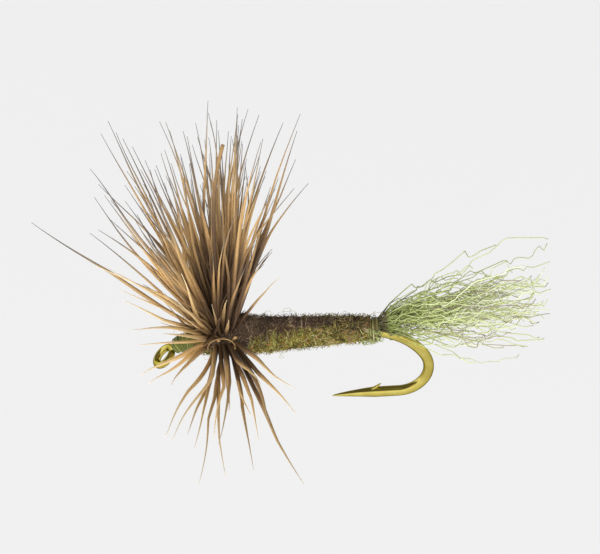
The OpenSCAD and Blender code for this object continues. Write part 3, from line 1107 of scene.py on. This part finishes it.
def hidden_pieces():
    """The bound materials under the dressing keep their CAD shapes."""
    looks = {
        "thread_base": plain_fibre_material("bound_thread", rgb(60, 56, 28), rgb(112, 106, 60)),
        "shuck_butts": plain_fibre_material("bound_yarn", rgb(62, 66, 30), rgb(128, 138, 72)),
        "wing_butts": plain_fibre_material("bound_hair", rgb(36, 28, 22), rgb(78, 60, 44)),
    }
    for node_name, material in looks.items():
        mesh = frame["nodes"][node_name].data
        mesh.materials.clear()
        mesh.materials.append(material)


# ---------------------------------------------------------------- studio

CAMERA_ELEVATION = math.radians(40)
CAMERA_ROLL = math.radians(3.2)
FIELD_WIDTH = 24.0
CAMERA_DISTANCE = 200.0
SENSOR = 36.0
AIM_SHIFT = Vector((0.08, 0, -0.17))
FLOOR_DROP = 60.0
FLOOR_HALF = 4000.0
DIM_TOWARDS = (0, 0.3, 0.954)
DIM_HALF_ANGLE = math.radians(62)
DIM_BLUR = 0.06
ROOM_LIGHT = 1.36
CEILING_LIGHT = 0.15


def studio():
    scene = bpy.context.scene
    scene.view_settings.view_transform = "Standard"
    centre = (cad_low + cad_high) / 2 / MM
    aim = centre + AIM_SHIFT
    back = Vector((0, -math.cos(CAMERA_ELEVATION), math.sin(CAMERA_ELEVATION)))
    level = Vector((0, math.sin(CAMERA_ELEVATION), math.cos(CAMERA_ELEVATION)))
    right = Vector((1, 0, 0)) * math.cos(CAMERA_ROLL) - level * math.sin(CAMERA_ROLL)
    up = Vector((1, 0, 0)) * math.sin(CAMERA_ROLL) + level * math.cos(CAMERA_ROLL)
    data = bpy.data.cameras.new("camera")
    data.sensor_width = SENSOR
    data.lens = SENSOR * CAMERA_DISTANCE / FIELD_WIDTH
    data.clip_start, data.clip_end = 0.01, 10
    camera = bpy.data.objects.new("camera", data)
    turn = Matrix((right, up, back)).transposed().to_4x4()
    camera.matrix_world = Matrix.Translation((aim + back * CAMERA_DISTANCE) * MM) @ turn
    scene.collection.objects.link(camera)
    scene.camera = camera

    # The floor lies well below the fly, so that its shadow falls outside the picture
    corners = [(-1, -1, 0), (1, -1, 0), (1, 1, 0), (-1, 1, 0)]
    corners = [[c * FLOOR_HALF for c in corner] for corner in corners]
    floor = make_object("floor", corners, [(0, 1, 2, 3)], floor_material(), False)
    floor.location.z = -FLOOR_DROP * MM

    # A soft light in front, in a bright room that is dim overhead
    soft_light("front_light", Vector((-130, -350, 140)), aim, 360, 1.7)
    scene.world = room()


def room():
    """A bright room. It is dim overhead, and a little further down at the back."""
    world = bpy.data.worlds.new("room")
    world.use_nodes = True
    tree = world.node_tree
    coordinates = tree.nodes.new("ShaderNodeTexCoord")
    facing = tree.nodes.new("ShaderNodeVectorMath")
    facing.operation = "DOT_PRODUCT"
    facing.inputs[1].default_value = DIM_TOWARDS
    tree.links.new(coordinates.outputs["Generated"], facing.inputs[0])
    light = tree.nodes.new("ShaderNodeMapRange")
    light.inputs["From Min"].default_value = math.cos(DIM_HALF_ANGLE) - DIM_BLUR
    light.inputs["From Max"].default_value = math.cos(DIM_HALF_ANGLE) + DIM_BLUR
    light.inputs["To Min"].default_value = ROOM_LIGHT
    light.inputs["To Max"].default_value = CEILING_LIGHT
    tree.links.new(facing.outputs["Value"], light.inputs["Value"])
    background = tree.nodes["Background"]
    background.inputs["Color"].default_value = (1, 1, 1, 1)
    tree.links.new(light.outputs["Result"], background.inputs["Strength"])
    return world


def floor_material():
    """A pale matt floor. It also glows, to come out as light as the photo's background."""
    recipe = Recipe("pale_floor", 0.9, Emission_Color=(1, 1, 1, 1), Emission_Strength=0.62)
    greys = [(0.0, (0.34, 0.34, 0.34)), (1.0, (0.36, 0.36, 0.36))]
    recipe.colour(recipe.ramp(recipe.noise(0.002), greys))
    return recipe.material


def soft_light(name, place, target, size, watts):
    """A square light that the camera and the reflections don't see."""
    data = bpy.data.lights.new(name, "AREA")
    data.energy = watts
    data.size = size * MM
    lamp = bpy.data.objects.new(name, data)
    lamp.location = place * MM
    lamp.rotation_mode = "QUATERNION"
    lamp.rotation_quaternion = (target - place).to_track_quat("-Z", "Y")
    lamp.visible_camera = False
    lamp.visible_glossy = False
    bpy.context.scene.collection.objects.link(lamp)


studio()
hook()
windings()
dubbing()
wing()
shuck()
cement()
hidden_pieces()
